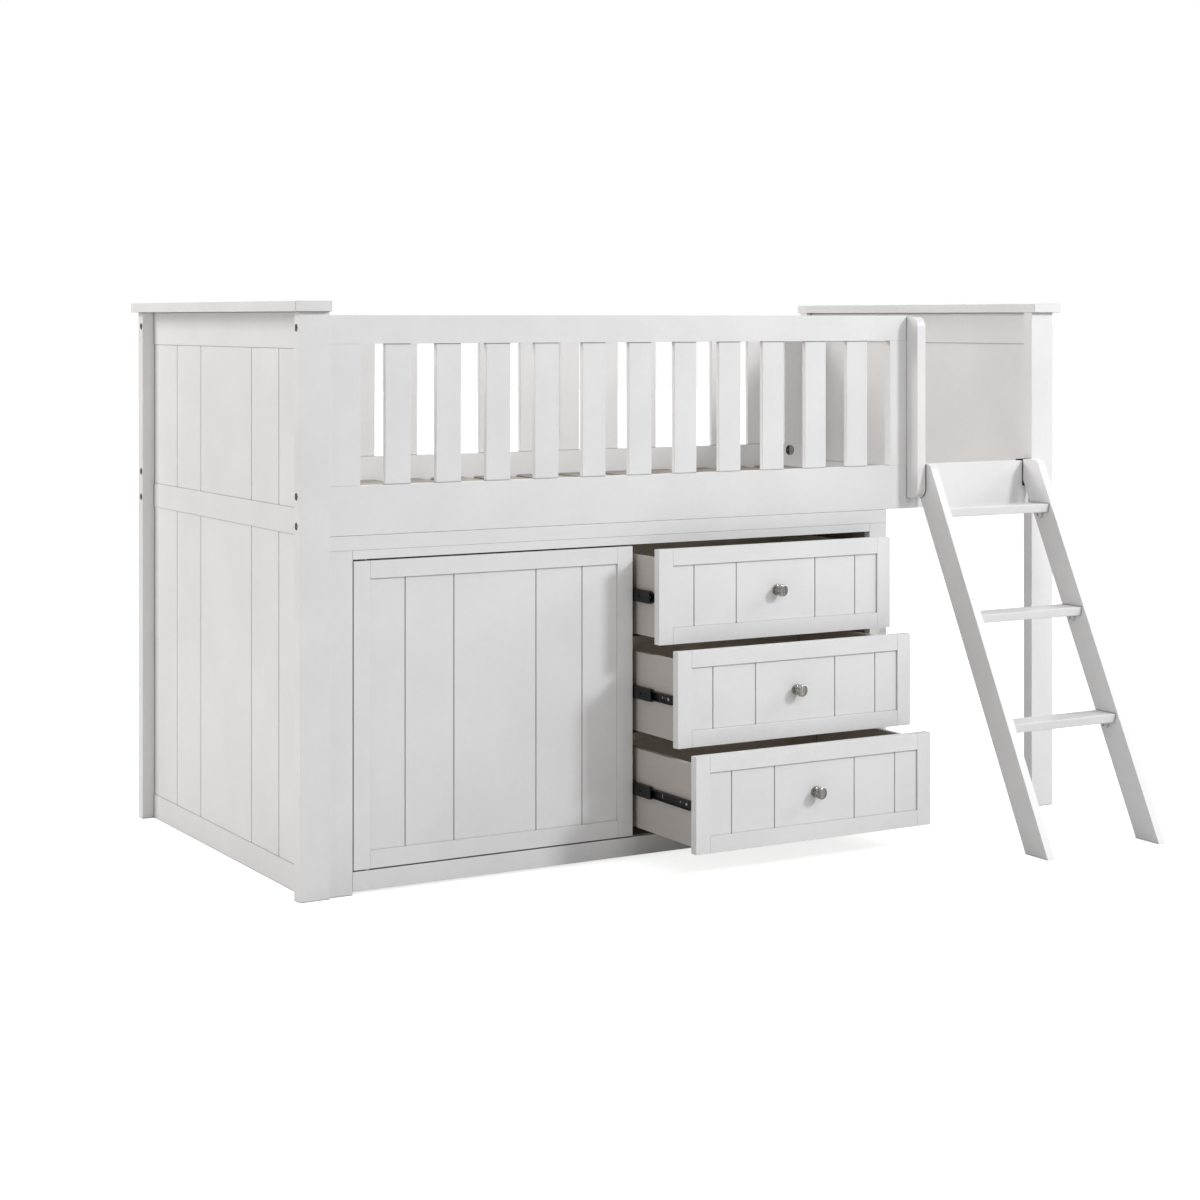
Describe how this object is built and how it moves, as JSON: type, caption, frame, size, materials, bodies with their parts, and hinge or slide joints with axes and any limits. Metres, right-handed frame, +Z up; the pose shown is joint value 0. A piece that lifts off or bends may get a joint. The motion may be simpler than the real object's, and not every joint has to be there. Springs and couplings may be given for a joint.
{
  "type": "cabin bed",
  "caption": "Raised single bed on board posts, with slatted guards, a hook-on raked ladder, and below it a cabinet with a swinging boarded door and pull-out drawers.",
  "frame": {"origin": "middle of the whole footprint on the floor, ladder included", "axes": "+X along the bed towards the ladder end, +Y from the ladder side to the wall side, +Z up"},
  "size_m": [2.03, 1.4704, 1.235],
  "materials": {
    "painted_wood": "satin white paint on board",
    "natural_pine": "plain sanded",
    "drawer_board": "off-white foil on board",
    "brushed_nickel": "brushed",
    "black_steel": "semi-matt black",
    "zinc_steel": "zinc plated",
    "white_nylon": "moulded"
  },
  "bodies": {
    "bed": {"front_left_post": "painted_wood", "back_left_post": "painted_wood", "front_right_post": "painted_wood", "back_right_post": "painted_wood", "end_caps": "painted_wood", "end_top_rails": "painted_wood", "end_mid_rails": "painted_wood", "left_bottom_rail": "painted_wood", "left_upper_panel": "painted_wood", "left_lower_panel": "painted_wood", "right_upper_panel": "painted_wood", "front_side_rail": "painted_wood", "back_side_rail": "painted_wood", "front_guard_rail": "painted_wood", "back_guard_rail": "painted_wood", "guard_stiles": "painted_wood", "guard_slats": "painted_wood", "grab_post": "painted_wood", "slat_ledgers": "painted_wood", "bed_slats": "natural_pine", "bed_bolts": "zinc_steel", "half_moon_nuts": "zinc_steel", "cabinet_top": "painted_wood", "cabinet_left_side": "painted_wood", "cabinet_right_side": "painted_wood", "cabinet_divider": "painted_wood", "cabinet_floor": "painted_wood", "cabinet_back": "painted_wood", "face_stiles": "painted_wood", "face_top_rail": "painted_wood", "plinth": "painted_wood", "drawer_dust_rails": "painted_wood", "slide_cabinet_members": "black_steel", "door_pivot_pins": "zinc_steel", "door_catch": "white_nylon"},
    "door": {"door_frame": "painted_wood", "door_panel": "painted_wood"},
    "drawer_1": {"drawer_1_front": "painted_wood", "drawer_1_box": "drawer_board", "drawer_1_bottom": "drawer_board", "drawer_1_knob": "brushed_nickel", "slide_1_drawer_members": "black_steel"},
    "slide_middles_1": {"slide_1_middle_members": "black_steel"},
    "drawer_2": {"drawer_2_front": "painted_wood", "drawer_2_box": "drawer_board", "drawer_2_bottom": "drawer_board", "drawer_2_knob": "brushed_nickel", "slide_2_drawer_members": "black_steel"},
    "slide_middles_2": {"slide_2_middle_members": "black_steel"},
    "drawer_3": {"drawer_3_front": "painted_wood", "drawer_3_box": "drawer_board", "drawer_3_bottom": "drawer_board", "drawer_3_knob": "brushed_nickel", "slide_3_drawer_members": "black_steel"},
    "slide_middles_3": {"slide_3_middle_members": "black_steel"},
    "ladder": {"ladder_stiles": "painted_wood", "ladder_treads": "painted_wood", "ladder_hooks": "black_steel", "ladder_corner_blocks": "white_nylon", "ladder_screws": "zinc_steel"}
  },
  "joints": [
    {"name": "door_hinge", "type": "hinge", "parent": "bed", "child": "door", "pos_m": [-0.844, -0.24776, 0.372], "axis": [0, 0, -1], "range_deg": [0, 95]},
    {"name": "drawer_1_slide", "type": "slide", "parent": "bed", "child": "drawer_1", "axis": [0, -1, 0], "range_m": [-0.096, 0.264]},
    {"name": "slide_middles_1_travel", "type": "slide", "parent": "bed", "child": "slide_middles_1", "axis": [0, -1, 0], "range_m": [-0.0896, 0.2462]},
    {"name": "drawer_2_slide", "type": "slide", "parent": "bed", "child": "drawer_2", "axis": [0, -1, 0], "range_m": [-0.173, 0.187]},
    {"name": "slide_middles_2_travel", "type": "slide", "parent": "bed", "child": "slide_middles_2", "axis": [0, -1, 0], "range_m": [-0.0946, 0.1023]},
    {"name": "drawer_3_slide", "type": "slide", "parent": "bed", "child": "drawer_3", "axis": [0, -1, 0], "range_m": [-0.247, 0.113]},
    {"name": "slide_middles_3_travel", "type": "slide", "parent": "bed", "child": "slide_middles_3", "axis": [0, -1, 0], "range_m": [-0.0925, 0.0424]},
    {"name": "ladder_lift_off", "type": "slide", "parent": "bed", "child": "ladder", "axis": [0, 0, 1], "range_m": [0, 0.06]}
  ],
  "couplings": [
    {"joint": "slide_middles_1_travel", "follows": "drawer_1_slide", "ratio": 0.932},
    {"joint": "slide_middles_2_travel", "follows": "drawer_2_slide", "ratio": 0.546},
    {"joint": "slide_middles_3_travel", "follows": "drawer_3_slide", "ratio": 0.374}
  ]
}
